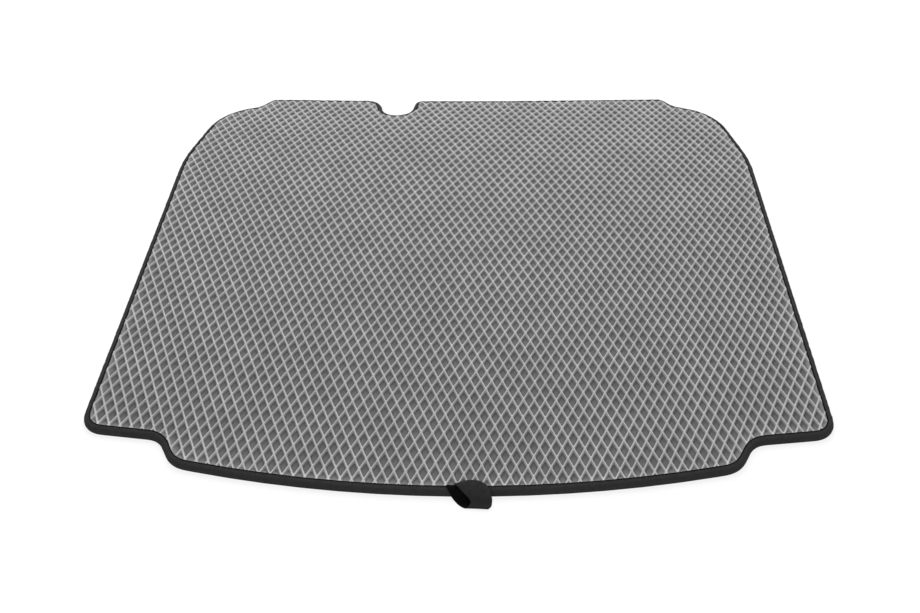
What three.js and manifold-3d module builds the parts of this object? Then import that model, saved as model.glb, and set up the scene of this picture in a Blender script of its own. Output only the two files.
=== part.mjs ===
// A car boot liner. A flexible foam sheet with open diamond cells lies on the boot floor, a woven
// tape is folded round its edge, and a loop of the same tape lifts it at the tailgate side.
// Millimetres, +Z up, +Y towards the rear seats. The origin is on the floor, under the middle of the
// liner and its loop.

import * as THREE from "three";
import { mergeVertices } from "three/addons/utils/BufferGeometryUtils.js";
import Module from "manifold-3d";

const wasm = await Module();
wasm.setup();

// Overall outline, measured over the edge tape
const WIDTH = 1000;
const DEPTH = 912; // from the crown of the tailgate edge to the crests of the seat edge

// Tailgate edge: a wide bowed nose, with a stepped-back ledge at each side
const BOW_RADIUS = 1650;
const BOW_HALF = 334; // half the width over which the nose is bowed
const NOSE_RUN = 31; // straight run at each end of the bow, before the step
const STEP_WIDTH = 24; // sideways run of the step, from the nose to the ledge
const LEDGE_BACK = 84; // the ledge's inner end, behind the crown of the nose
const LEDGE_RISE = 13; // how much further back the ledge's outer end is
const NOSE_ROUND = 42;
const STEP_ROUND = 28;
const FRONT_CORNER_ROUND = 32;

// Seat edge: broad rounded shoulders, a short step up to a crest at each side, and a hollow middle
const SIDE_END_DROP = 195; // where the side starts to lean in, before the crests
const SIDE_END_ROUND = 260;
const SHOULDER_X = 462;
const SHOULDER_DROP = 50;
const SHOULDER_ROUND = 95;
const STEP_FOOT_X = 388;
const STEP_FOOT_DROP = 24;
const CREST_X = 369;
const SEAT_HOLLOW = 6;
const HOLLOW_X = 60;
const STEP_FOOT_ROUND = 16;
const CREST_ROUND = 14;
const HOLLOW_ROUND = 3000;

// The notch in the seat edge
const NOTCH_X = -129;
const NOTCH_MOUTH = 66;
const NOTCH_FLOOR = 50;
const NOTCH_DEPTH = 49;
const NOTCH_OUTER_ROUND = 28;
const NOTCH_INNER_ROUND = 14;
const NOTCH_FLOOR_ROUND = 26;

// Foam sheet. A real sheet of this kind has cells about 15 mm wide and 30 mm long, and each cell here
// is drawn half as large again, so that the pattern stays light enough to handle as a solid.
const SHEET_TOP = 12;
const CELL_WIDTH = 22.5;
const CELL_LENGTH = 45;
const CELL_FLOOR = 6;
const RIB_TOP = 11.8;
const PATTERN_TURN = -2.6; // degrees, the pattern lies a little askew of the cut outline
const PLAIN_MARGIN = 3; // plain foam between the crushed edge and the first cells
const CRUSH_WIDTH = 8; // foam drawn down beside the tape

// Edge tape, folded round the foam and drawn tight, so that its top is rounded down to the floor
const TAPE = 1;
const TAPE_FLANGE = 9.5;
const TAPE_LIP = 11.2; // height of the tape's sewn top edge
const EDGE_WAIST = 3; // height at which the folded tape stands furthest out
const EDGE_HEEL = 1; // how far the tape's underside starts behind the waist
const EDGE_FULLNESS = 2.2; // exponent of the rounded edge: 2 is an ellipse, and more is squarer
const SLACK = 0.3;

// Pull loop, made from a wider tape and laid over the tailgate edge. Both its ends are sewn down at
// the edge tape's lip, and between them it leans to one side.
const LOOP_TAPE = 1.2;
const LOOP_WIDTH = 34; // along the edge
const LOOP_X = 10; // middle of the lower leaf where it is sewn
const LOOP_LEAN = 23; // how far the fold lies to the side of the lower leaf's sewn end
const LOOP_RETURN = 8; // how far the upper leaf comes back from the fold
const LOOP_ROOT = 5; // the sewn ends, behind the tape's lip
const LOOP_REACH = 19; // from the liner's edge to the fold
const LOOP_LIE = 1; // how high the lower leaf lies over the floor before the edge
const LOOP_FOLD = 5.4; // outside height of the fold
const LOOP_CROWN = 20.5; // height of the upper leaf's highest point
const LOOP_CROWN_BACK = 11; // how far that point lies behind the liner's edge
const LOOP_SAG = 1; // how far the upper leaf hangs below a straight line from crown to fold

const CHORD_ERROR = 0.2;
const EDGE_STEPS = 5;
const LOOP_STEPS = 40;

const FOAM = new THREE.MeshStandardMaterial({ color: 0x7d7d7d, roughness: 0.9, metalness: 0 });
const BLACK_TAPE = new THREE.MeshStandardMaterial({ color: 0x1c1c1c, roughness: 0.85, metalness: 0 });
const LOOP_FABRIC = new THREE.MeshStandardMaterial({ color: 0x171717, roughness: 0.8, metalness: 0 });

// The corners of the outline before rounding, anticlockwise from above
function outlineCorners() {
  const front = -DEPTH / 2;
  const back = DEPTH / 2;
  const side = WIDTH / 2;
  const bowDrop = Math.sqrt(BOW_RADIUS ** 2 - BOW_HALF ** 2);
  const bowTip = front + BOW_RADIUS - BOW_RADIUS ** 2 / bowDrop;
  const noseX = BOW_HALF + NOSE_RUN;
  const noseY = bowTip + (noseX * BOW_HALF) / bowDrop;
  const seatY = (x) => back - SEAT_HOLLOW * (1 - (x / CREST_X) ** 2);
  const corner = (x, y, round) => ({ point: new THREE.Vector2(x, y), round });
  const rightHalf = [
    corner(noseX, noseY, NOSE_ROUND),
    corner(noseX + STEP_WIDTH, front + LEDGE_BACK, STEP_ROUND),
    corner(side, front + LEDGE_BACK + LEDGE_RISE, FRONT_CORNER_ROUND),
    corner(side, back - SIDE_END_DROP, SIDE_END_ROUND),
    corner(SHOULDER_X, back - SHOULDER_DROP, SHOULDER_ROUND),
    corner(STEP_FOOT_X, back - STEP_FOOT_DROP, STEP_FOOT_ROUND),
    corner(CREST_X, back, CREST_ROUND),
  ];
  const leftHalf = rightHalf.map((c) => corner(-c.point.x, c.point.y, c.round)).reverse();
  const mouth = NOTCH_MOUTH / 2;
  const floor = NOTCH_FLOOR / 2;
  const notch = [
    corner(NOTCH_X + mouth, seatY(NOTCH_X + mouth), NOTCH_INNER_ROUND),
    corner(NOTCH_X + floor, seatY(NOTCH_X) - NOTCH_DEPTH, NOTCH_FLOOR_ROUND),
    corner(NOTCH_X - floor, seatY(NOTCH_X) - NOTCH_DEPTH, NOTCH_FLOOR_ROUND),
    corner(NOTCH_X - mouth, seatY(NOTCH_X - mouth), NOTCH_OUTER_ROUND),
  ];
  return [
    corner(0, bowTip, BOW_RADIUS),
    ...rightHalf,
    corner(HOLLOW_X, back - SEAT_HOLLOW, HOLLOW_ROUND),
    ...notch,
    ...leftHalf,
  ];
}

// The outline with its corners rounded: points, each with the direction into the liner. Further in than
// its depth, a rounded corner has shrunk to a sharp one, which moves on along its mitre.
function roundedOutline(corners) {
  const count = corners.length;
  const turns = corners.map(({ point, round }, i) => {
    const toLast = corners[(i + count - 1) % count].point.clone().sub(point);
    const toNext = corners[(i + 1) % count].point.clone().sub(point);
    const leg = toNext.length();
    toLast.normalize();
    toNext.normalize();
    const turn = Math.PI - Math.acos(THREE.MathUtils.clamp(toLast.dot(toNext), -1, 1));
    const convex = toLast.cross(toNext) < 0;
    const mitre = toLast.clone().add(toNext).setLength(1 / Math.cos(turn / 2));
    return { point, round, toLast, toNext, leg, turn, convex, mitre, cut: round * Math.tan(turn / 2) };
  });
  const outline = [];
  turns.forEach((t, i) => {
    const last = turns[(i + count - 1) % count];
    const next = turns[(i + 1) % count];
    const share = Math.min(1, last.leg / (last.cut + t.cut), t.leg / (t.cut + next.cut));
    const radius = t.round * share;
    const centre = t.point.clone().addScaledVector(t.mitre, radius);
    const start = t.point.clone().addScaledVector(t.toLast, t.cut * share).sub(centre);
    const steps = Math.ceil(t.turn / (2 * Math.acos(1 - CHORD_ERROR / radius)));
    for (let k = 0; k <= steps; k++) {
      const angle = ((t.convex ? 1 : -1) * t.turn * k) / steps;
      const spoke = start.clone().rotateAround(new THREE.Vector2(), angle);
      const inward = spoke.clone().normalize().multiplyScalar(t.convex ? -1 : 1);
      const depth = t.convex ? radius : Infinity;
      outline.push({ point: spoke.add(centre), inward, depth, mitre: t.mitre });
    }
  });
  return outline;
}

const OUTLINE = roundedOutline(outlineCorners());

function insetLoop(inset) {
  return OUTLINE.map(({ point, inward, depth, mitre }) =>
    point
      .clone()
      .addScaledVector(inward, Math.min(inset, depth))
      .addScaledVector(mitre, Math.max(inset - depth, 0)),
  );
}

// A surface through loops that all follow the outline, each given as how far in and how high it lies.
// A ring's profile closes on itself, and any other profile is capped at both ends.
function sweepAlongOutline(profile, ring) {
  const count = OUTLINE.length;
  const loops = profile.map(([inset]) => insetLoop(inset));
  const positions = loops.flatMap((loop, k) => loop.flatMap((p) => [p.x, p.y, profile[k][1]]));
  const faces = [];
  const bands = ring ? profile.length : profile.length - 1;
  for (let k = 0; k < bands; k++) {
    const low = k * count;
    const high = ((k + 1) % profile.length) * count;
    for (let i = 0; i < count; i++) {
      const j = (i + 1) % count;
      faces.push(low + i, low + j, high + j, low + i, high + j, high + i);
    }
  }
  if (!ring) {
    const top = (profile.length - 1) * count;
    THREE.ShapeUtils.triangulateShape(loops[0], []).forEach(([a, b, c]) => faces.push(a, c, b));
    THREE.ShapeUtils.triangulateShape(loops.at(-1), []).forEach(([a, b, c]) =>
      faces.push(top + a, top + b, top + c),
    );
  }
  const geometry = new THREE.BufferGeometry();
  geometry.setAttribute("position", new THREE.Float32BufferAttribute(positions, 3));
  return geometry.setIndex(faces);
}

// The rounded top of the folded edge, from its waist up to the tape's lip, drawn in by a given depth
function edgeCurve(depth) {
  const across = TAPE_FLANGE - depth;
  const up = TAPE_LIP - EDGE_WAIST - depth;
  return Array.from({ length: EDGE_STEPS + 1 }, (_, k) => {
    const angle = (Math.PI / 2) * (k / EDGE_STEPS);
    const out = Math.cos(angle) ** (2 / EDGE_FULLNESS);
    const rise = Math.sin(angle) ** (2 / EDGE_FULLNESS);
    return [TAPE_FLANGE - across * out, EDGE_WAIST + up * rise];
  });
}

function toSolid(geometry) {
  const bare = geometry.index ? geometry.toNonIndexed() : geometry.clone();
  bare.deleteAttribute("normal");
  bare.deleteAttribute("uv");
  const merged = mergeVertices(bare, 1e-4);
  const vertProperties = new Float32Array(merged.attributes.position.array);
  const corners = Array.from(merged.index.array);
  const kept = corners.filter((_, i) => {
    const [a, b, c] = corners.slice(i - (i % 3), i - (i % 3) + 3);
    return a !== b && b !== c && c !== a;
  });
  const triVerts = new Uint32Array(kept);
  return new wasm.Manifold(new wasm.Mesh({ numProp: 3, vertProperties, triVerts }));
}

function toGeometry(solid) {
  const mesh = solid.getMesh();
  const geometry = new THREE.BufferGeometry();
  geometry.setAttribute("position", new THREE.Float32BufferAttribute(mesh.vertProperties, 3));
  return geometry.setIndex(new THREE.BufferAttribute(mesh.triVerts, 1));
}

// Everything above the foam's cells: a block whose underside is a field of pits' moulds, four slopes to
// each diamond, which meet in the ribs' edges
function cellMould() {
  const turn = THREE.MathUtils.degToRad(PATTERN_TURN);
  const farCorner = Math.hypot(WIDTH, DEPTH) / 2;
  const reach = Math.ceil(farCorner * Math.hypot(1 / CELL_WIDTH, 1 / CELL_LENGTH));
  const side = 2 * reach + 1;
  const ceiling = 2 * SHEET_TOP;
  const crossings = [];
  const pits = [];
  const lids = [];
  const at = (i, j, z) => {
    const flat = new THREE.Vector2(((i + j) * CELL_WIDTH) / 2, ((i - j) * CELL_LENGTH) / 2);
    flat.rotateAround(new THREE.Vector2(), turn);
    return [flat.x, flat.y, z];
  };
  for (let i = -reach; i <= reach; i++)
    for (let j = -reach; j <= reach; j++) {
      crossings.push(...at(i, j, RIB_TOP));
      lids.push(...at(i, j, ceiling));
      pits.push(...at(i + 0.5, j + 0.5, CELL_FLOOR));
    }
  const points = side * side;
  const faces = [];
  for (let i = 0; i < side - 1; i++)
    for (let j = 0; j < side - 1; j++) {
      const corner = i * side + j;
      const ringOfFour = [corner, corner + 1, corner + 1 + side, corner + side];
      const pit = 2 * points + corner;
      ringOfFour.forEach((a, k) => faces.push(pit, ringOfFour[(k + 1) % 4], a));
      const [a, b, c, d] = ringOfFour.map((p) => p + points);
      faces.push(a, b, c, a, c, d);
    }
  for (let k = 0; k < side - 1; k++) {
    const walls = [
      [k, k + 1],
      [(side - 1) * side + k + 1, (side - 1) * side + k],
      [(k + 1) * side, k * side],
      [k * side + side - 1, (k + 1) * side + side - 1],
    ];
    walls.forEach(([a, b]) => faces.push(a, b, b + points, a, b + points, a + points));
  }
  const geometry = new THREE.BufferGeometry();
  const positions = [...crossings, ...lids, ...pits];
  geometry.setAttribute("position", new THREE.Float32BufferAttribute(positions, 3));
  return geometry.setIndex(faces);
}

function foamSheet() {
  const buried = TAPE + SLACK;
  const rebate = TAPE_FLANGE + SLACK;
  const shoulder = rebate + CRUSH_WIDTH;
  const rim = edgeCurve(buried);
  const profile = [
    [rebate, 0],
    [rebate, buried],
    [EDGE_HEEL + buried, buried],
    ...rim,
    [rebate, rim.at(-1)[1]],
    [rebate, TAPE_LIP],
    [shoulder, SHEET_TOP],
  ];
  const slab = toSolid(sweepAlongOutline(profile, false));
  const field = new THREE.ExtrudeGeometry(new THREE.Shape(insetLoop(shoulder + PLAIN_MARGIN)), {
    depth: 3 * SHEET_TOP,
    bevelEnabled: false,
  });
  const cells = toSolid(cellMould()).intersect(toSolid(field));
  return toGeometry(slab.subtract(cells));
}

function edgeTape() {
  const outside = edgeCurve(0);
  const inside = edgeCurve(TAPE).reverse();
  const profile = [
    [TAPE_FLANGE, 0],
    [EDGE_HEEL, 0],
    ...outside,
    ...inside,
    [EDGE_HEEL + TAPE, TAPE],
    [TAPE_FLANGE, TAPE],
  ];
  return sweepAlongOutline(profile, true);
}

// The loop's middle line from its lower sewn end round the fold to its upper one, in the plane across
// the edge (behind the edge, height), with the sideways place of the tape's middle at each point
function loopPath() {
  const half = LOOP_TAPE / 2;
  const lift = SLACK + half;
  const root = TAPE_FLANGE + LOOP_ROOT;
  const bend = (LOOP_FOLD - LOOP_TAPE) / 2;
  const foldStart = half + bend - LOOP_REACH;
  const lie = LOOP_LIE + half;
  const foldTop = lie + 2 * bend;
  const crown = LOOP_CROWN - half;
  const overEdge = edgeCurve(-lift).reverse();
  const lower = [
    [root, SHEET_TOP + lift],
    ...overEdge.slice(0, -1),
    [foldStart / 4, lie],
    [foldStart / 2, lie],
    [foldStart, lie],
    [foldStart - bend, lie + bend],
  ];
  const upper = [
    [foldStart, foldTop],
    [(foldStart + LOOP_CROWN_BACK) / 2, (foldTop + crown) / 2 - LOOP_SAG],
    [LOOP_CROWN_BACK, crown],
    [root, (SHEET_TOP + 2 * lift + half + crown) / 2],
    [root, SHEET_TOP + 2 * lift + half],
  ];
  const along = (back) => (root - back) / (root - foldStart + bend);
  const foldX = LOOP_X + LOOP_LEAN;
  const points = [
    ...lower.map(([back, z]) => new THREE.Vector3(LOOP_X + LOOP_LEAN * along(back), back, z)),
    ...upper.map(([back, z]) => new THREE.Vector3(foldX - LOOP_RETURN * (1 - along(back)), back, z)),
  ];
  return new THREE.CatmullRomCurve3(points, false, "centripetal");
}

// A flat tape along the path, always square to the path in the plane across the edge
function pullLoop() {
  const path = loopPath();
  const points = path.getSpacedPoints(LOOP_STEPS);
  const positions = [];
  const faces = [];
  points.forEach((p, k) => {
    const before = points[Math.max(k - 1, 0)];
    const after = points[Math.min(k + 1, LOOP_STEPS)];
    const along = new THREE.Vector2(after.y - before.y, after.z - before.z).normalize();
    for (const [side, face] of [[-1, -1], [1, -1], [1, 1], [-1, 1]]) {
      const out = (face * LOOP_TAPE) / 2;
      positions.push(p.x + (side * LOOP_WIDTH) / 2, p.y - along.y * out, p.z + along.x * out);
    }
  });
  for (let k = 0; k < LOOP_STEPS; k++)
    for (let c = 0; c < 4; c++) {
      const a = 4 * k + c;
      const b = 4 * k + ((c + 1) % 4);
      faces.push(a, b + 4, b, a, a + 4, b + 4);
    }
  const last = 4 * LOOP_STEPS;
  faces.push(0, 1, 2, 0, 2, 3, last, last + 2, last + 1, last, last + 3, last + 2);
  const geometry = new THREE.BufferGeometry();
  geometry.setAttribute("position", new THREE.Float32BufferAttribute(positions, 3));
  return geometry.setIndex(faces);
}

const group = new THREE.Group();
const add = (name, geometry, material) => {
  const mesh = new THREE.Mesh(geometry, material);
  mesh.name = name;
  group.add(mesh);
  return mesh;
};
add("foam_sheet", foamSheet(), FOAM);
add("edge_tape", edgeTape(), BLACK_TAPE);
add("pull_loop", pullLoop(), LOOP_FABRIC).position.y = -DEPTH / 2;
group.position.y = LOOP_REACH / 2; // the origin is midway between the loop's fold and the seat edge

export default group;
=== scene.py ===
"""A car boot liner: a foam sheet with open diamond cells, a tape folded round its edge and a pull loop."""

import math

import bmesh
import bpy
from mathutils import Matrix, Vector, kdtree, noise


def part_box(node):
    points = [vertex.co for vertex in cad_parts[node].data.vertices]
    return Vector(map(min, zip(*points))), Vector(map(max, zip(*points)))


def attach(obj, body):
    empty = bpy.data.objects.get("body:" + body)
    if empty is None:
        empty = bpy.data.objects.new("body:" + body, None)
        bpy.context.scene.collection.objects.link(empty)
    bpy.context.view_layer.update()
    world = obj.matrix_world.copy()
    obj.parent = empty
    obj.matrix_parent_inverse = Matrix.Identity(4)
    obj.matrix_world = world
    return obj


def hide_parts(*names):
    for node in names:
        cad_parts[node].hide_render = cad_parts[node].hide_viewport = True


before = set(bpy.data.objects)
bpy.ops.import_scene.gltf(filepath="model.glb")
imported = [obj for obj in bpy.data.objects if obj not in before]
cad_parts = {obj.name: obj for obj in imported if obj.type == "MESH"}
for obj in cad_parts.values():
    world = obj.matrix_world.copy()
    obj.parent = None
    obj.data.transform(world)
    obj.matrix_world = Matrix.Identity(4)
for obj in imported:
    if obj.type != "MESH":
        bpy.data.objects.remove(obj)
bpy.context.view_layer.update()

MM = 0.001
MERGE = 0.01 * MM  # points closer than this are one

# The photograph's view
PICTURE_WIDTH = 920
FOCAL_PIXELS = 1000
SENSOR = 36.0
CAMERA_PLACE = Vector((43.7, -1188.3, 1029.3)) * MM
CAMERA_TURN = (46.61, 0.90, 1.38)

# Foam sheet
SHEET_TOP = 12 * MM
CELL_WIDTH = 14.99 * MM
CELL_LENGTH = 30.96 * MM
PATTERN_TURN = math.radians(-2.61)
PATTERN_START = Vector((2.9, -115.3, 0)) * MM
DRIFT_REACH = 400 * MM  # the drifts below are those at this distance from the pattern's start
ROW_FAN = 9 * MM
ROW_BOW = 5.2 * MM
SIDE_CLOSING = 8 * MM
BACK_CLOSING = 21 * MM
BACK_TIGHTENING = 7.6 * MM
CROSS_BOW = 5.1 * MM
CORNER_CUT = 1.4 * MM  # how far the fillets in a cell's corners reach along its walls
RIB_HALF = 0.7 * MM
RIB_CROWN = 0.5 * MM
WALL_RUN = 1.4 * MM
CELL_DEPTH = 4.5 * MM
CRUSH_WIDTH = 9 * MM  # foam drawn down beside the tape
CRUSH_POWER = 0.3  # how much more the ribs give than the floors, where the foam is drawn down
BACK_CRUSH = -0.3  # share of that along the back edge, where the foam bulges up instead
BACK_TURN = (-0.9, 0.2)  # way inward, as its y, over which the back edge's share turns into the rest's
RIM_SHADE_LIFT = 0.25  # how much of the painted shade the squeezed, shallower cells' floors lose beside the tape, as a height on a rib
RIM_GRAIN = 4.5 * MM  # length past which the foam's edges are cut up beside the tape
RIM_GAP = 0.2 * MM  # between the tape's lip and the open cells
RIM_LAP = 0.3 * MM  # how far the foam under the tape reaches past the lip
RIM_GLEAM = 0.4  # painted highlight: how much paler the ribs' tops are painted beside the tape at the front
GLEAM_TURN = (0.2, 0.8)  # way inward, as its y, over which that sets in
GLEAM_HEIGHT = (0.85, 1.0)  # heights on a rib over which it sets in
UNDERSIDE_TONE = 0.6  # how pale the underside is, as a height on a rib
FOAM_SHARP = math.radians(62)  # folds sharper than this stay crisp

# Edge tape, with the sizes of the solid that it stands for
TAPE = 1 * MM
TAPE_FLANGE = 9.5 * MM
TAPE_LIP = 11.2 * MM
EDGE_WAIST = 3 * MM
EDGE_HEEL = 1 * MM
EDGE_FULLNESS = 2.2
SLACK = 0.3 * MM
CURVE_POINTS = 10
SMOOTHING_PASSES = 5  # how often the outline's stations are evened out
STITCH_LINE = 7.2 * MM  # the seam, behind the edge
STITCH_PITCH = 4.5 * MM
STITCH_LENGTH = 3.5 * MM
STITCH_THICKNESS = 0.55 * MM
STITCH_DRAW = 0.7 * MM  # how deep the thread draws the tape in
UNDER_STITCH = 0.55  # share of that under a stitch
BETWEEN_STITCHES = 0.45  # what is added to that share between two stitches
THREAD_RISE = 0.15  # share of its thickness by which a stitch's middle stands over the groove
SEAM_REACH = 1.1 * MM  # how far the groove reaches to each side of the seam
WRINKLE = 0.42 * MM  # height of the tape's wrinkles
WRINKLE_PUSH = 0.7  # share of that by which they also stand outwards
CREASES = ((75, 40, 0, 1.0), (190, 60, 7, 0.6))  # wrinkles' fineness along and across, shift and share
LIP_SHADE = 4 * MM  # width of the painted shade along the tape's sewn lip, where the tape is painted darker

# Pull loop: its left side, middle and right side, from the lower sewn end over the edge, along the
# floor, round the fold and up to the crown, as sideways place, distance behind the liner's edge and
# height in millimetres. The points were typed in as places in the picture with guessed heights, then
# turned into the places below, and ten of them were then changed. So most of this table is a
# program's output, where a few named sizes would have been better.
LOOP_NET = (
    ((-7.8, 9.8, 12.3), (14.0, 9.4, 12.3), (35.8, 9.0, 12.3)),
    ((-6.1, 5.1, 11.5), (15.4, 4.6, 11.5), (37.1, 4.1, 11.5)),
    ((-3.5, 1.0, 8.5), (17.2, 1.0, 8.5), (38.3, 1.0, 8.5)),
    ((-0.4, -2.5, 3.0), (19.7, -2.8, 3.0), (39.8, -3.2, 3.0)),
    ((3.9, -7.3, 1.2), (22.9, -8.2, 1.2), (41.6, -9.1, 1.2)),
    ((9.2, -12.8, 1.0), (27.1, -14.0, 1.0), (43.1, -15.3, 1.0)),
    ((15.7, -16.5, 1.2), (31.1, -16.9, 1.2), (44.9, -17.5, 1.2)),
    ((20.7, -15.2, 3.2), (35.0, -16.8, 3.6), (48.7, -15.4, 3.6)),
    ((23.1, -10.9, 5.2), (36.5, -12.4, 5.9), (49.5, -11.1, 5.5)),
    ((21.5, -8.2, 8.8), (35.4, -9.3, 10.6), (49.6, -8.4, 8.8)),
    ((17.4, -4.6, 11.0), (33.2, -4.8, 13.6), (48.6, -4.7, 10.6)),
    ((11.8, 0.5, 13.4), (30.4, 0.7, 16.6), (46.9, -0.1, 12.6)),
    ((6.5, 5.3, 15.0), (28.1, 7.0, 19.0), (44.7, 4.4, 14.2)),
    ((3.0, 8.9, 15.0), (26.1, 12.0, 19.6), (42.6, 8.2, 14.4)),
    ((1.6, 10.7, 13.2), (24.9, 12.9, 15.5), (42.0, 9.8, 12.8)),
)
LOOP_WIDTH = 34 * MM
LOOP_TAPE = 1.2 * MM
LOOP_STEPS = 84
LOOP_COLUMNS = 20
LOOP_RIPPLE = 0.3 * MM
RIPPLE_ACROSS = 2.2
RIPPLE_ALONG = 9
UPPER_LEAF = (0.6, 0.7)  # places along the loop between which the ripple sets in


def edge_loops(edges):
    """The closed chains of points that edges form."""
    edges, loops = set(edges), []
    while edges:
        edge = edges.pop()
        first, vert = edge.verts
        loop = [first.co.copy()]
        while vert is not first:
            loop.append(vert.co.copy())
            edge = next(e for e in vert.link_edges if e in edges)
            edges.discard(edge)
            vert = edge.other_vert(vert)
        loops.append(loop)
    return loops


def outline_of_tape():
    """The liner's outline, anticlockwise from above: where the tape's solid stands furthest out."""
    bm = bmesh.new()
    bm.from_mesh(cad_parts["edge_tape"].data)
    bmesh.ops.remove_doubles(bm, verts=bm.verts, dist=MERGE)
    everything = bm.verts[:] + bm.edges[:] + bm.faces[:]
    cut = bmesh.ops.bisect_plane(
        bm, geom=everything, plane_co=(0, 0, EDGE_WAIST * 0.99), plane_no=(0, 0, 1)
    )
    edges = [e for e in cut["geom_cut"] if isinstance(e, bmesh.types.BMEdge)]
    loops = edge_loops(edges)
    bm.free()
    outer = max(loops, key=lambda loop: max(p.x for p in loop))
    turned = sum(a.x * b.y - b.x * a.y for a, b in zip(outer, outer[1:] + outer[:1]))
    return [Vector((p.x, p.y, 0)) for p in (outer if turned > 0 else outer[::-1])]


def even_stations(points, step):
    """Evenly spaced points along a closed line, each with the direction to its left."""
    closed = points + points[:1]
    marks = [0.0]
    for a, b in zip(closed, closed[1:]):
        marks.append(marks[-1] + (b - a).length)
    count = 2 * round(marks[-1] / step / 2)
    spaced, k = [], 0
    for i in range(count):
        s = marks[-1] * i / count
        while marks[k + 1] <= s:
            k += 1
        spaced.append(closed[k].lerp(closed[k + 1], (s - marks[k]) / (marks[k + 1] - marks[k])))
    for _ in range(SMOOTHING_PASSES):
        spaced = [
            (spaced[i - 1] + spaced[i] * 2 + spaced[(i + 1) % count]) / 4 for i in range(count)
        ]
    stations = []
    for i, p in enumerate(spaced):
        ahead = (spaced[(i + 1) % count] - spaced[i - 1]).normalized()
        stations.append((p, Vector((-ahead.y, ahead.x, 0))))
    return stations, marks[-1]


OUTLINE = outline_of_tape()
STATIONS, EDGE_LENGTH = even_stations(OUTLINE, STITCH_PITCH / 2)


def rim_index(points):
    """A quick search for the nearest place on the outline, with three marks for each station."""
    tree = kdtree.KDTree(len(points) * 3)
    for i, (p, _) in enumerate(points):
        following = points[(i + 1) % len(points)][0]
        for k in range(3):
            tree.insert(p.lerp(following, k / 3), 3 * i + k)
    tree.balance()
    return tree


RIM = rim_index(STATIONS)


def from_rim(at):
    """Distance of a point from the outline, seen from above, and the way inward there."""
    _, index, distance = RIM.find((at.x, at.y, 0))
    return distance, STATIONS[index // 3][1]


def edge_height(inset, depth):
    """Height of the folded edge's rounded top at an inset, drawn in by a depth."""
    across = max(0.0, min(1.0, (TAPE_FLANGE - inset) / (TAPE_FLANGE - depth)))
    rise = (1 - across**EDGE_FULLNESS) ** (1 / EDGE_FULLNESS)
    return EDGE_WAIST + (TAPE_LIP - EDGE_WAIST - depth) * rise


def edge_curve(depth):
    """The same curve as points (inset, height), from the waist to the lip."""
    points = []
    for k in range(CURVE_POINTS + 1):
        angle = math.pi / 2 * k / CURVE_POINTS
        out = math.cos(angle) ** (2 / EDGE_FULLNESS)
        rise = math.sin(angle) ** (2 / EDGE_FULLNESS)
        points.append(
            (
                TAPE_FLANGE - (TAPE_FLANGE - depth) * out,
                EDGE_WAIST + (TAPE_LIP - EDGE_WAIST - depth) * rise,
            )
        )
    return points


def sum_of(verts):
    return sum((v.co for v in verts), Vector())


def smooth_step(value, start, end):
    t = max(0.0, min(1.0, (value - start) / (end - start)))
    return t * t * (3 - 2 * t)


def new_piece(name, bm, material):
    """A finished piece from a bmesh, on the liner's one body."""
    mesh = bpy.data.meshes.new(name)
    bm.to_mesh(mesh)
    bm.free()
    piece = bpy.data.objects.new(name, mesh)
    bpy.context.scene.collection.objects.link(piece)
    mesh.materials.append(material)
    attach(piece, "root")
    return piece


def place_grid(along, across, place, texture):
    """A bmesh of a grid of quads whose corner (i, j) goes to place(i, j), with texture(i, j) as UV."""
    bm = bmesh.new()
    bmesh.ops.create_grid(bm, x_segments=along, y_segments=across, size=0.5)
    marks = {v: (round((v.co.x + 0.5) * along), round((v.co.y + 0.5) * across)) for v in bm.verts}
    uv = bm.loops.layers.uv.new("cloth")
    for face in bm.faces:
        face.smooth = True
        for loop in face.loops:
            loop[uv].uv = texture(*marks[loop.vert])
    for vert, (i, j) in marks.items():
        vert.co = place(i, j)
    return bm


# Materials


class Wire:
    """A socket in a material. Arithmetic on it adds Math nodes."""

    def __init__(self, paint, socket):
        self.paint, self.socket = paint, socket

    def math(self, operation, *values):
        return self.paint.node("ShaderNodeMath", {"operation": operation}, dict(enumerate(values)))

    def __add__(self, other):
        return self.math("ADD", self, other)

    def __sub__(self, other):
        return self.math("SUBTRACT", self, other)

    def __rsub__(self, other):
        return self.math("SUBTRACT", other, self)

    def __mul__(self, other):
        return self.math("MULTIPLY", self, other)

    def __gt__(self, other):
        return self.math("GREATER_THAN", self, other)

    def sine(self):
        return self.math("SINE", self)

    def absolute(self):
        return self.math("ABSOLUTE", self)

    __radd__, __rmul__ = __add__, __mul__


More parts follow.
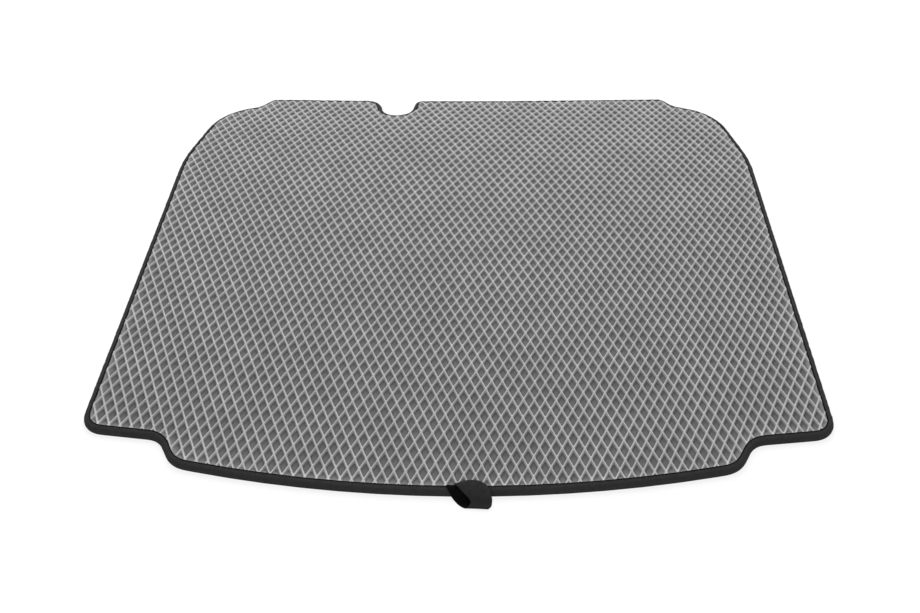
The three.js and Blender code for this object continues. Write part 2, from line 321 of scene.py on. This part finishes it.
class Paint:
    """A material being mixed: its Principled shader, and a call that adds any other node."""

    def __init__(self, name, **surface):
        self.material = bpy.data.materials.new(name)
        self.material.use_nodes = True
        self.tree = self.material.node_tree
        self.shader = self.tree.nodes["Principled BSDF"]
        self.surface(**surface)

    def surface(self, **values):
        for name, value in values.items():
            self.feed(self.shader.inputs[name.replace("_", " ").title().replace("Ior", "IOR")], value)

    def feed(self, target, value):
        if isinstance(value, Wire):
            self.tree.links.new(value.socket, target)
        else:
            target.default_value = value

    def node(self, kind, settings=None, inputs=None, output=0):
        made = self.tree.nodes.new(kind)
        for name, value in (settings or {}).items():
            setattr(made, name, value)
        for name, value in (inputs or {}).items():
            self.feed(made.inputs[name], value)
        return Wire(self, made.outputs[output])

    def place(self):
        return self.node("ShaderNodeTexCoord", output="Object")

    def attribute(self, name):
        return self.node("ShaderNodeAttribute", {"attribute_name": name}, output="Fac")

    def grain(self, at, size, detail=3.0, roughness=0.6):
        inputs = {"Vector": at, "Scale": 1 / size, "Detail": detail, "Roughness": roughness}
        return self.node("ShaderNodeTexNoise", inputs=inputs)

    def ramp(self, value, start, end, low=0.0, high=1.0):
        inputs = {"Value": value, "From Min": start, "From Max": end, "To Min": low, "To Max": high}
        return self.node("ShaderNodeMapRange", {"interpolation_type": "SMOOTHSTEP"}, inputs)

    def blend(self, share, low, high):
        """A colour between two: share 0 is the first."""
        inputs = {"Factor": share, 6: low, 7: high}
        return self.node("ShaderNodeMix", {"data_type": "RGBA"}, inputs, output=2)

    def bump(self, height, depth, strength):
        inputs = {"Height": height, "Distance": depth, "Strength": strength}
        return self.node("ShaderNodeBump", inputs=inputs)


def grey(level):
    return (level, level, level, 1.0)


# Greys of the foam, from a cell's floor up to the rib's top (floors darker partly from open grain, partly as
# painted shade), and the painted highlight where the ribs' tops gleam
FLOOR_GREY = 0.084
WALL_GREY = 0.21
RIB_GREY = 0.355
GLEAM_GREY = 0.50
CLOUD_SIZE = 60 * MM
FLOOR_GRAIN = 1.1 * MM
OPEN_GRAIN = 0.9 * MM
GRAIN_DEPTH = 0.25 * MM

# Greys of the cloth and the thread, and the size of the yarns
TAPE_GREY = 0.029
LOOP_GREY = 0.024
LOOP_SHADE_GREY = 0.003  # inner face of the loop, painted near-black as painted shade
THREAD_GREY = 0.008
TAPE_YARN = 0.9 * MM
LOOP_YARN = 1.2 * MM
SLUB_SIZE = 7 * MM
WEAVE_DEPTH = 0.12 * MM
CLOTH_GLOSS = 0.06


def foam_paint():
    """Grey foam: pale, smooth tops on the ribs and darker open grain on the cells' floors, with painted
    shade that darkens it down into the cells.
    """
    paint = Paint("grey_foam", roughness=0.85)
    at = paint.place()
    rib = paint.attribute("rib")
    cloudy = paint.ramp(paint.grain(at, CLOUD_SIZE, detail=2.0), 0.3, 0.7, 0.94, 1.06)
    fine = paint.ramp(paint.grain(at, FLOOR_GRAIN, detail=4.0, roughness=0.7), 0.3, 0.7, 0.82, 1.15)
    # Painted darker from the ribs' tops down the walls to the cells' floors: partly the floors' open grain,
    # partly painted shade in the cells.
    floor = paint.blend(fine, grey(0.0), grey(FLOOR_GREY))
    wall = paint.blend(paint.ramp(rib, 0.0, 0.4), floor, grey(WALL_GREY))
    # Painted highlight on the ribs' tops beside the tape at the front.
    crest = paint.blend(paint.ramp(rib, 1.0, 1.0 + RIM_GLEAM), grey(RIB_GREY), grey(GLEAM_GREY))
    tone_with_cell_shade = paint.blend(paint.ramp(rib, 0.6, 0.98), wall, crest)
    colour = paint.node(
        "ShaderNodeMix",
        {"data_type": "RGBA", "blend_type": "MULTIPLY"},
        {"Factor": 1.0, 6: tone_with_cell_shade, 7: cloudy},
        output=2,
    )
    pores = paint.grain(at, OPEN_GRAIN, detail=3.0, roughness=0.7)
    paint.surface(base_color=colour, normal=paint.bump(pores, GRAIN_DEPTH, 0.6))
    return paint.material


def cloth_paint(name, level, yarn, roughness, lip_shade_span=None):
    """Plain woven tape: yarns that pass over and under each other, in the piece's own UV, in metres.

    lip_shade_span gives two places across the tape for painted shade: it is painted darker at the first, and
    gets paler towards the second.
    """
    paint = Paint(name, specular_ior_level=CLOTH_GLOSS)
    uv = paint.node("ShaderNodeUVMap", {"uv_map": "cloth"})
    split = paint.tree.nodes.new("ShaderNodeSeparateXYZ")
    paint.feed(split.inputs[0], uv)
    along = (Wire(paint, split.outputs[0]) * (math.pi / yarn)).sine()
    across = (Wire(paint, split.outputs[1]) * (math.pi / yarn)).sine()
    over = (along * across) > 0.0
    weave = over * along.absolute() + (1.0 - over) * across.absolute()
    slub = paint.grain(paint.place(), SLUB_SIZE, detail=2.0)
    shade = paint.ramp(weave, 0.0, 1.0, 0.55, 1.0) * paint.ramp(slub, 0.3, 0.7, 0.85, 1.15)
    # Painted shade along the tape's lip.
    if lip_shade_span:
        shade = shade * paint.ramp(Wire(paint, split.outputs[1]), *lip_shade_span, 0.0, 1.1)
    paint.surface(
        base_color=paint.blend(shade, grey(0.0), grey(level)),
        roughness=paint.ramp(weave, 0.0, 1.0, roughness + 0.1, roughness),
        normal=paint.bump(weave, WEAVE_DEPTH, 0.7),
    )
    return paint.material


# Pieces


def drift(at):
    """How far the pattern strays from straight and even rows: they fan out, bow and close up."""
    u, v = at.x / DRIFT_REACH, at.y / DRIFT_REACH
    sideways = ROW_FAN * u * v + ROW_BOW * v * v - SIDE_CLOSING * u * u
    back = CROSS_BOW * u * u - BACK_CLOSING * v * v - BACK_TIGHTENING * v**3
    return Vector((sideways, back, 0))


def foam_sheet():
    """The sheet: a field of diamond cells, cut off at the tape's lip and drawn down beside it."""
    low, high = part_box("foam_sheet")
    reach = (high - low).length / 2 * math.hypot(1 / CELL_WIDTH, 1 / CELL_LENGTH)
    cells = 2 * math.ceil(reach + 4)
    bm = bmesh.new()
    bmesh.ops.create_grid(bm, x_segments=cells, y_segments=cells, size=cells / 2)
    half_w, half_l = CELL_WIDTH / 2, CELL_LENGTH / 2
    shear = Matrix(((half_w, half_w, 0, 0), (-half_l, half_l, 0, 0), (0, 0, 1, 0), (0, 0, 0, 1)))
    bm.transform(shear)
    for vert in bm.verts:
        vert.co += drift(vert.co)
    lift = Matrix.Translation(PATTERN_START + Vector((0, 0, SHEET_TOP)))
    bm.transform(lift @ Matrix.Rotation(PATTERN_TURN, 4, "Z"))

    def spare(face):
        at = face.calc_center_median()
        return not (
            low.x - CELL_WIDTH < at.x < high.x + CELL_WIDTH
            and low.y - CELL_LENGTH < at.y < high.y + CELL_LENGTH
        )

    bmesh.ops.delete(bm, geom=[f for f in bm.faces if spare(f)], context="FACES")
    inset = {"faces": bm.faces[:], "use_even_offset": True}
    bmesh.ops.inset_individual(bm, thickness=RIB_HALF, depth=-RIB_CROWN, **inset)
    bmesh.ops.inset_individual(bm, thickness=WALL_RUN, depth=RIB_CROWN - CELL_DEPTH, **inset)
    floor_z, crown_z = SHEET_TOP - CELL_DEPTH, SHEET_TOP - RIB_CROWN
    corners = [e for e in bm.edges if abs(sum_of(e.verts).z - floor_z - crown_z) < 0.1 * MM]
    bmesh.ops.bevel(
        bm, geom=corners, offset=CORNER_CUT, offset_type="OFFSET", segments=1,
        profile=0.5, affect="EDGES", material=-1,
    )
    rim = [e for e in bm.edges if e.is_boundary]
    sides = bmesh.ops.extrude_edge_only(bm, edges=rim)["geom"]
    for vert in (g for g in sides if isinstance(g, bmesh.types.BMVert)):
        vert.co.z = 0
    bmesh.ops.holes_fill(bm, edges=[e for e in bm.edges if e.is_boundary], sides=0)
    bmesh.ops.recalc_face_normals(bm, faces=bm.faces)
    piece = new_piece("foam", bm, foam_paint())
    cut_to_outline(piece)
    draw_down(piece)
    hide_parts("foam_sheet")


def cut_to_outline(piece):
    """Trims the field of cells just inside the tape's lip, with a blade that follows the outline."""
    bm = bmesh.new()
    under = [bm.verts.new(p + n * (TAPE_FLANGE + RIM_GAP)) for p, n in STATIONS[::2]]
    for vert in under:
        vert.co.z = -SHEET_TOP
    face = bm.faces.new(under)
    raised = bmesh.ops.extrude_face_region(bm, geom=[face])["geom"]
    top = [g for g in raised if isinstance(g, bmesh.types.BMVert)]
    bmesh.ops.translate(bm, verts=top, vec=(0, 0, 3 * SHEET_TOP))
    bmesh.ops.recalc_face_normals(bm, faces=bm.faces)
    mesh = bpy.data.meshes.new("blade")
    bm.to_mesh(mesh)
    bm.free()
    blade = bpy.data.objects.new("blade", mesh)
    bpy.context.scene.collection.objects.link(blade)
    trim = piece.modifiers.new("trim", "BOOLEAN")
    trim.operation, trim.object, trim.solver = "INTERSECT", blade, "MANIFOLD"
    depsgraph = bpy.context.evaluated_depsgraph_get()
    cut = bpy.data.meshes.new_from_object(piece.evaluated_get(depsgraph))
    piece.modifiers.clear()
    old, piece.data = piece.data, cut
    bpy.data.meshes.remove(old)
    bpy.data.objects.remove(blade)


def draw_down(piece):
    """Pulls the foam down beside the tape, notes on each point how high on a rib it is, and adds the rim."""
    bm = bmesh.new()
    bm.from_mesh(piece.data)
    near = TAPE_FLANGE + CRUSH_WIDTH / 2
    for _ in range(2):
        long = [
            e for e in bm.edges
            if e.calc_length() > RIM_GRAIN and from_rim(sum_of(e.verts) / 2)[0] < near
        ]
        bmesh.ops.subdivide_edges(bm, edges=long, cuts=1, use_grid_fill=True)
    rib = bm.verts.layers.float.new("rib")
    for vert in bm.verts:
        z = max(0.0, vert.co.z)
        inset, inward = from_rim(vert.co)
        squeeze = 1 - smooth_step(inset, TAPE_FLANGE, TAPE_FLANGE + CRUSH_WIDTH)
        crush = BACK_CRUSH + (1 - BACK_CRUSH) * smooth_step(inward.y, *BACK_TURN)
        height = max(0.0, (z - SHEET_TOP + CELL_DEPTH) / CELL_DEPTH) if z > 0 else UNDERSIDE_TONE
        # Painted highlight on the ribs' tops beside the tape at the front.
        gleam = RIM_GLEAM * squeeze * smooth_step(height, *GLEAM_HEIGHT)
        gleam *= smooth_step(inward.y, *GLEAM_TURN)
        # Less painted shade on the floors of the squeezed cells beside the tape.
        vert[rib] = height + gleam + max(0.0, RIM_SHADE_LIFT - height) * squeeze
        top = SHEET_TOP - (SHEET_TOP - TAPE_LIP + SLACK) * crush * squeeze
        vert.co.z = top * (z / SHEET_TOP) ** (1 - (1 - CRUSH_POWER) * squeeze)
    under_tape = bpy.data.meshes.new("foam_rim")
    rim = foam_rim()
    rim.to_mesh(under_tape)
    rim.free()
    bm.from_mesh(under_tape)
    bpy.data.meshes.remove(under_tape)
    for face in bm.faces:
        face.smooth = True
    for edge in bm.edges:
        edge.smooth = edge.calc_face_angle(0) < FOAM_SHARP
    bm.to_mesh(piece.data)
    bm.free()


def carry_round(section, shaped):
    """A closed section carried round the outline; shaped(inset, z, along) gives each point's inset and z."""
    closed = section + section[:1]
    marks = [0.0]
    for a, b in zip(closed, closed[1:]):
        marks.append(marks[-1] + math.dist(a, b))
    count = len(STATIONS)
    step = EDGE_LENGTH / count

    def place(i, j):
        station, inward = STATIONS[i % count]
        inset, z = shaped(*closed[j], step * (i % count))
        return station + inward * inset + Vector((0, 0, z))

    bm = place_grid(count, len(section), place, lambda i, j: (i * step, marks[j]))
    bmesh.ops.remove_doubles(bm, verts=bm.verts, dist=MERGE)
    bmesh.ops.recalc_face_normals(bm, faces=bm.faces)
    return bm, marks


def foam_rim():
    """The foam that the tape is folded round, squeezed thin under the tape's lip."""
    buried, inner = TAPE + SLACK, TAPE_FLANGE + RIM_LAP
    curve = edge_curve(buried)
    section = [(inner, buried), (EDGE_HEEL + buried, buried), *curve, (inner, curve[-1][1])]
    return carry_round(section, lambda inset, z, along: (inset, z))[0]


def edge_tape():
    """The folded tape: a thin closed section carried round the outline, drawn in along its seam."""
    outside = [(TAPE_FLANGE, 0), (TAPE_FLANGE * 0.5, 0), (EDGE_HEEL, 0)]
    outside += [(EDGE_HEEL * 0.3, EDGE_WAIST * 0.4)]
    outside += edge_curve(0)
    lip = [(TAPE_FLANGE + TAPE * 0.2, TAPE_LIP - TAPE * 0.5)]
    inside = edge_curve(TAPE)[::-1]
    inside += [(EDGE_HEEL + TAPE, TAPE), (TAPE_FLANGE * 0.5, TAPE), (TAPE_FLANGE, TAPE)]
    section = outside + lip + inside

    def shaped(inset, z, along):
        upper = smooth_step(z, EDGE_WAIST, TAPE_LIP * 0.7)
        seam = math.exp(-(((inset - STITCH_LINE) / SEAM_REACH) ** 2)) * upper
        between = 0.5 - 0.5 * math.cos(2 * math.pi * along / STITCH_PITCH)
        turn = 2 * math.pi * along / EDGE_LENGTH
        ring = Vector((math.cos(turn), math.sin(turn), 0))
        crease = sum(
            share * noise.noise(ring * fine + Vector((shift, 0, inset * across)))
            for fine, across, shift, share in CREASES
        )
        free = smooth_step(z, TAPE, EDGE_WAIST) * (1 - seam)
        drop = seam * STITCH_DRAW * (UNDER_STITCH + BETWEEN_STITCHES * between)
        swell = WRINKLE * crease * free
        return inset - swell * WRINKLE_PUSH, max(0.0, z - drop + swell)

    bm, marks = carry_round(section, shaped)
    lip_mark = marks[len(outside) - 1]
    # Painted shade along the lip, next to the foam.
    lip_shade_span = (lip_mark, lip_mark - LIP_SHADE)
    paint = cloth_paint("black_tape", TAPE_GREY, TAPE_YARN, 0.72, lip_shade_span)
    piece = new_piece("tape", bm, paint)
    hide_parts("edge_tape")
    marks[-1] / 2 - TAPE


def seam_thread():
    """One row of lockstitches along the tape, in the groove that the thread draws."""
    bm = bmesh.new()
    count = round(EDGE_LENGTH / STITCH_PITCH)
    height = edge_height(STITCH_LINE, 0) - STITCH_DRAW * UNDER_STITCH + STITCH_THICKNESS * THREAD_RISE
    size = Matrix.Diagonal((STITCH_LENGTH / 2, STITCH_THICKNESS / 2, STITCH_THICKNESS / 2, 1))
    for k in range(count):
        where = k / count * len(STATIONS)
        station, inward = STATIONS[int(where) % len(STATIONS)]
        following = STATIONS[(int(where) + 1) % len(STATIONS)][0]
        at = station.lerp(following, where % 1) + inward * STITCH_LINE
        heading = math.atan2(-inward.x, inward.y)
        spot = Matrix.Translation((at.x, at.y, height)) @ Matrix.Rotation(heading, 4, "Z")
        bmesh.ops.create_uvsphere(bm, u_segments=6, v_segments=4, radius=1, matrix=spot @ size)
    for face in bm.faces:
        face.smooth = True
    paint = Paint("black_thread", base_color=grey(THREAD_GREY), roughness=0.5)
    new_piece("thread", bm, paint.material)


def curve_at(points, along):
    """A point on a smooth line through the given ones, along 0 to 1 by number."""
    ends = [points[0] * 2 - points[1], *points, points[-1] * 2 - points[-2]]
    t = along * (len(points) - 1)
    i = min(int(t), len(points) - 2)
    t -= i
    a, b, c, d = ends[i : i + 4]
    return (b * 2 + (c - a) * t + (a * 2 - b * 5 + c * 4 - d) * t**2 + (b * 3 - a - c * 3 + d) * t**3) / 2


def loop_point(along, side):
    """A point of the loop's middle layer: along 0 to 1 from the lower end, side -1 to 1."""
    edge_y = min(p.y for p in OUTLINE)
    across = [curve_at([Vector(row[k]) for row in LOOP_NET], along) for k in range(3)]
    shares = (side * (side - 1) / 2, 1 - side * side, side * (side + 1) / 2)
    point = sum((p * share for p, share in zip(across, shares)), Vector()) * MM
    return point + Vector((0, edge_y, 0))


def pull_loop():
    """The loop: a wide woven tape, folded over, with its sides hanging a little at the crown."""

    def place(i, j):
        along, side = i / LOOP_STEPS, 2 * j / LOOP_COLUMNS - 1
        ripple = noise.noise(Vector((side * RIPPLE_ACROSS, along * RIPPLE_ALONG, 4)))
        ripple *= smooth_step(along, *UPPER_LEAF)
        return loop_point(along, side) + Vector((0, 0, ripple * LOOP_RIPPLE))

    middle = [loop_point(i / LOOP_STEPS, 0) for i in range(LOOP_STEPS + 1)]
    length = sum((b - a).length for a, b in zip(middle, middle[1:]))
    bm = place_grid(
        LOOP_STEPS, LOOP_COLUMNS, place,
        lambda i, j: (length * i / LOOP_STEPS, LOOP_WIDTH * j / LOOP_COLUMNS),
    )
    bmesh.ops.reverse_faces(bm, faces=bm.faces)
    piece = new_piece("loop", bm, cloth_paint("loop_webbing", LOOP_GREY, LOOP_YARN, 0.6))
    # The loop's inner face is painted near-black as painted shade.
    piece.data.materials.append(cloth_paint("loop_underside_painted_shade", LOOP_SHADE_GREY, LOOP_YARN, 0.9))
    thick = piece.modifiers.new("thickness", "SOLIDIFY")
    thick.thickness, thick.offset, thick.use_even_offset = LOOP_TAPE, 0, True
    thick.material_offset = 1
    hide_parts("pull_loop")


# Stage

FLOOR_RADIUS = 14
FLOOR_PALENESS = 0.85
FLOOR_GLOW = 0.8  # share of plain white in the floor that the camera sees
SURROUNDINGS = 0.68  # strength of the light from all sides
LAMPS = (  # name, place and width in metres, and watts
    ("overhead", (-0.1, 1.4, 1.7), 1.8, 60),
    ("front", (0.4, -2.4, 1.9), 2.0, 11),
)


def add_camera():
    data = bpy.data.cameras.new("camera")
    data.sensor_width = SENSOR
    data.lens = FOCAL_PIXELS / PICTURE_WIDTH * SENSOR
    camera = bpy.data.objects.new("camera", data)
    camera.location = CAMERA_PLACE
    camera.rotation_euler = [math.radians(a) for a in CAMERA_TURN]
    bpy.context.scene.collection.objects.link(camera)
    bpy.context.scene.camera = camera


def seen_directly(tree):
    """1 for what the camera sees, straight or in a gloss, and 0 for what lights the object."""
    path = tree.nodes.new("ShaderNodeLightPath")
    total = path.outputs["Is Camera Ray"]
    for name in ("Is Glossy Ray", "Is Transmission Ray"):
        either = tree.nodes.new("ShaderNodeMath")
        either.operation = "MAXIMUM"
        tree.links.new(total, either.inputs[0])
        tree.links.new(path.outputs[name], either.inputs[1])
        total = either.outputs[0]
    return total


def add_floor():
    bm = bmesh.new()
    bmesh.ops.create_circle(bm, cap_ends=True, segments=64, radius=FLOOR_RADIUS)
    mesh = bpy.data.meshes.new("floor")
    bm.to_mesh(mesh)
    bm.free()
    floor = bpy.data.objects.new("floor", mesh)
    bpy.context.scene.collection.objects.link(floor)
    paint = Paint("floor", base_color=grey(FLOOR_PALENESS), roughness=0.9)
    tree = paint.tree
    white = tree.nodes.new("ShaderNodeEmission")
    share = Wire(paint, seen_directly(tree)) * FLOOR_GLOW
    both = tree.nodes.new("ShaderNodeMixShader")
    tree.links.new(share.socket, both.inputs[0])
    tree.links.new(paint.shader.outputs[0], both.inputs[1])
    tree.links.new(white.outputs[0], both.inputs[2])
    tree.links.new(both.outputs[0], tree.nodes["Material Output"].inputs[0])
    mesh.materials.append(paint.material)


def add_lights():
    world = bpy.data.worlds.new("studio")
    bpy.context.scene.world = world
    world.use_nodes = True
    tree = world.node_tree
    around = tree.nodes["Background"]
    around.inputs["Color"].default_value = grey(1.0)
    around.inputs["Strength"].default_value = SURROUNDINGS
    behind = tree.nodes.new("ShaderNodeBackground")
    both = tree.nodes.new("ShaderNodeMixShader")
    tree.links.new(seen_directly(tree), both.inputs[0])
    tree.links.new(around.outputs[0], both.inputs[1])
    tree.links.new(behind.outputs[0], both.inputs[2])
    tree.links.new(both.outputs[0], tree.nodes["World Output"].inputs[0])
    for name, place, size, power in LAMPS:
        data = bpy.data.lights.new(name, "AREA")
        data.shape, data.size, data.energy = "DISK", size, power
        lamp = bpy.data.objects.new(name, data)
        lamp.location = place
        lamp.rotation_euler = (-Vector(place)).to_track_quat("-Z", "Y").to_euler()
        bpy.context.scene.collection.objects.link(lamp)


bpy.context.scene.view_settings.view_transform = "Standard"
add_camera()
add_floor()
add_lights()
foam_sheet()
edge_tape()
seam_thread()
pull_loop()
